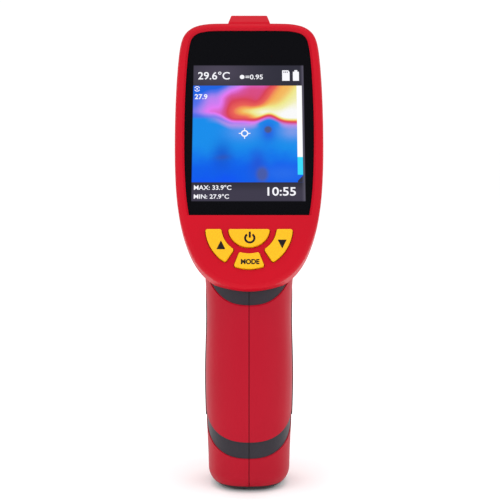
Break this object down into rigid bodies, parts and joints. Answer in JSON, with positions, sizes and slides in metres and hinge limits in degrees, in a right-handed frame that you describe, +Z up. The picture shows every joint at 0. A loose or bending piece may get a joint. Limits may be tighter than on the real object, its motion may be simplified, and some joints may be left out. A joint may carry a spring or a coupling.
{
  "type": "handheld thermal imaging camera",
  "caption": "Pistol-grip thermal imaging camera with a display and keys on the back, a trigger, a sliding lens cover, a battery door in the grip and a tripod socket in its base.",
  "frame": {"origin": "centre of the mouth of the tripod socket, on the flat base of the grip", "axes": "+Z up along the height, +Y the way the lenses look (the display faces -Y), +X to the user's right"},
  "size_m": [0.0652, 0.104, 0.2041],
  "materials": {
    "red_shell": "satin",
    "black_shell": "matte",
    "lens_cover": "matte",
    "yellow_key": "satin",
    "grey_rubber": "matte",
    "black_rubber": "matte",
    "window": "gloss",
    "tape": "matte",
    "display": "gloss",
    "inner_plastic": "matte",
    "board": "satin",
    "chips": "matte",
    "steel": "brushed",
    "nickel": "polished",
    "holder": "matte",
    "cell": "satin",
    "germanium": "polished",
    "black_metal": "anodised",
    "lens_metal": "satin",
    "camera_glass": "polished",
    "brass": "satin"
  },
  "bodies": {
    "housing": {"left_shell": "red_shell", "right_shell": "red_shell", "rear_bezel": "red_shell", "display_window": "window", "window_gasket": "tape", "lcd_panel": "display", "lcd_frame": "inner_plastic", "key_domes": "steel", "main_board": "board", "board_chips": "chips", "buzzer": "chips", "usb_port": "steel", "io_board": "board", "card_socket": "steel", "board_header": "chips", "board_screws": "steel", "battery_holder": "holder", "battery_cells": "cell", "contact_springs": "nickel", "contact_plates": "nickel", "door_pin": "steel", "trigger_pin": "steel", "trigger_spring": "steel", "trigger_switch": "chips", "nose_bezel": "black_shell", "ir_lens": "germanium", "lens_ring": "lens_metal", "lens_barrel": "black_metal", "detector": "steel", "sensor_board": "board", "sensor_screws": "steel", "camera_module": "chips", "camera_window": "camera_glass", "upper_band_left": "grey_rubber", "upper_band_right": "grey_rubber", "lower_band_left": "grey_rubber", "lower_band_right": "grey_rubber", "base_cap": "black_shell", "tripod_insert": "brass", "base_screws": "steel", "housing_screws": "steel"},
    "power_key": {"key_power": "yellow_key"},
    "up_key": {"key_up": "yellow_key"},
    "down_key": {"key_down": "yellow_key"},
    "mode_key": {"key_mode": "yellow_key"},
    "trigger_lever": {"trigger": "black_shell"},
    "door": {"battery_door": "black_shell"},
    "shutter": {"lens_cover": "lens_cover"},
    "flap": {"port_cover": "black_rubber"}
  },
  "joints": [
    {"name": "power_key_press", "type": "slide", "parent": "housing", "child": "power_key", "axis": [0, 0.91, -0.4147], "range_m": [0, 0.0006], "stiffness_N_per_m": 2500},
    {"name": "up_key_press", "type": "slide", "parent": "housing", "child": "up_key", "axis": [0, 0.91, -0.4147], "range_m": [0, 0.0006], "stiffness_N_per_m": 2500},
    {"name": "down_key_press", "type": "slide", "parent": "housing", "child": "down_key", "axis": [0, 0.91, -0.4147], "range_m": [0, 0.0006], "stiffness_N_per_m": 2500},
    {"name": "mode_key_press", "type": "slide", "parent": "housing", "child": "mode_key", "axis": [0, 0.91, -0.4147], "range_m": [0, 0.0006], "stiffness_N_per_m": 2500},
    {"name": "trigger_pull", "type": "hinge", "parent": "housing", "child": "trigger_lever", "pos_m": [0, 0.0294, 0.10752], "axis": [-1, 0, 0], "range_deg": [0, 7], "stiffness_Nm_per_rad": 0.5, "springref_deg": -4.58, "deforming": ["trigger_spring"]},
    {"name": "door_hinge", "type": "hinge", "parent": "housing", "child": "door", "pos_m": [0, 0.02234, 0.02681], "axis": [-1, 0, 0], "range_deg": [0, 75]},
    {"name": "shutter_slide", "type": "slide", "parent": "housing", "child": "shutter", "axis": [0, 0, 1], "range_m": [0, 0.0236]},
    {"name": "flap_hinge", "type": "hinge", "parent": "housing", "child": "flap", "pos_m": [0, 0.05908, 0.19507], "axis": [-1, 0, 0], "range_deg": [0, 85]}
  ]
}
